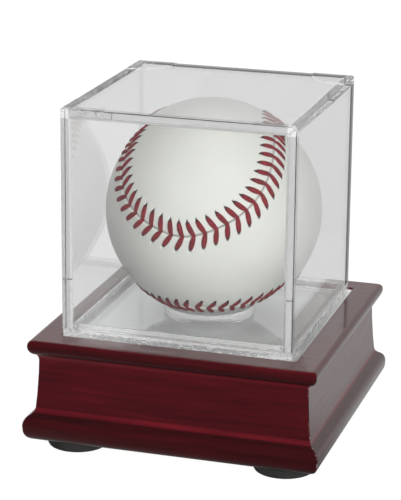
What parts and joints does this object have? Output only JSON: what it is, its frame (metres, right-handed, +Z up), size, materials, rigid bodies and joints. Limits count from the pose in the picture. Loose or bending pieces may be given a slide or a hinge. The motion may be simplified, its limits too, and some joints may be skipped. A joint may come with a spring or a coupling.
{
  "type": "baseball display case",
  "caption": "Clear cube case holding a stitched ball on a clear cradle, standing in the recess of a moulded dark wood plinth on round rubber feet.",
  "frame": {"origin": "centre of the plinth at the underside of its feet", "axes": "+Z up, -Y towards the front, +X to the viewer's right"},
  "size_m": [0.1056, 0.1056, 0.1213],
  "materials": {
    "cherry_lacquer": "dark cherry stain under semi-gloss lacquer",
    "bare_wood": "unfinished pale wood",
    "foot_rubber": "matt dark grey rubber",
    "screw_steel": "zinc plated",
    "clear_acrylic": "polished clear acrylic",
    "white_leather": "smooth off-white leather with a soft sheen",
    "red_thread": "waxed red cotton thread",
    "wool_yarn": "wound grey-white yarn",
    "core_rubber": "black rubber",
    "cork": "cork"
  },
  "bodies": {
    "stand": {"top_board": "cherry_lacquer", "front_rail": "cherry_lacquer", "right_rail": "cherry_lacquer", "rear_rail": "cherry_lacquer", "left_rail": "cherry_lacquer", "bottom_panel": "bare_wood", "corner_block_fl": "bare_wood", "corner_block_fr": "bare_wood", "corner_block_rl": "bare_wood", "corner_block_rr": "bare_wood", "foot_fl": "foot_rubber", "foot_fr": "foot_rubber", "foot_rl": "foot_rubber", "foot_rr": "foot_rubber", "foot_screw_fl": "screw_steel", "foot_screw_fr": "screw_steel", "foot_screw_rl": "screw_steel", "foot_screw_rr": "screw_steel"},
    "display_tray": {"base_tray": "clear_acrylic", "ball_cradle": "clear_acrylic"},
    "cover": {"cover": "clear_acrylic"},
    "ball": {"leather_panel_a": "white_leather", "leather_panel_b": "white_leather", "seam_thread": "red_thread", "yarn_windings": "wool_yarn", "rubber_shell_a": "core_rubber", "rubber_shell_b": "core_rubber", "cork_core": "cork"}
  },
  "joints": [
    {"name": "tray_lift", "type": "slide", "parent": "stand", "child": "display_tray", "axis": [0, 0, 1], "range_m": [0, 0.05]},
    {"name": "cover_lift", "type": "slide", "parent": "display_tray", "child": "cover", "axis": [0, 0, 1], "range_m": [0, 0.09]},
    {"name": "ball_turn", "type": "hinge", "parent": "display_tray", "child": "ball", "pos_m": [-0.0007, -0.00055, 0.0791], "axis": [0, 0, 1], "continuous": true}
  ]
}
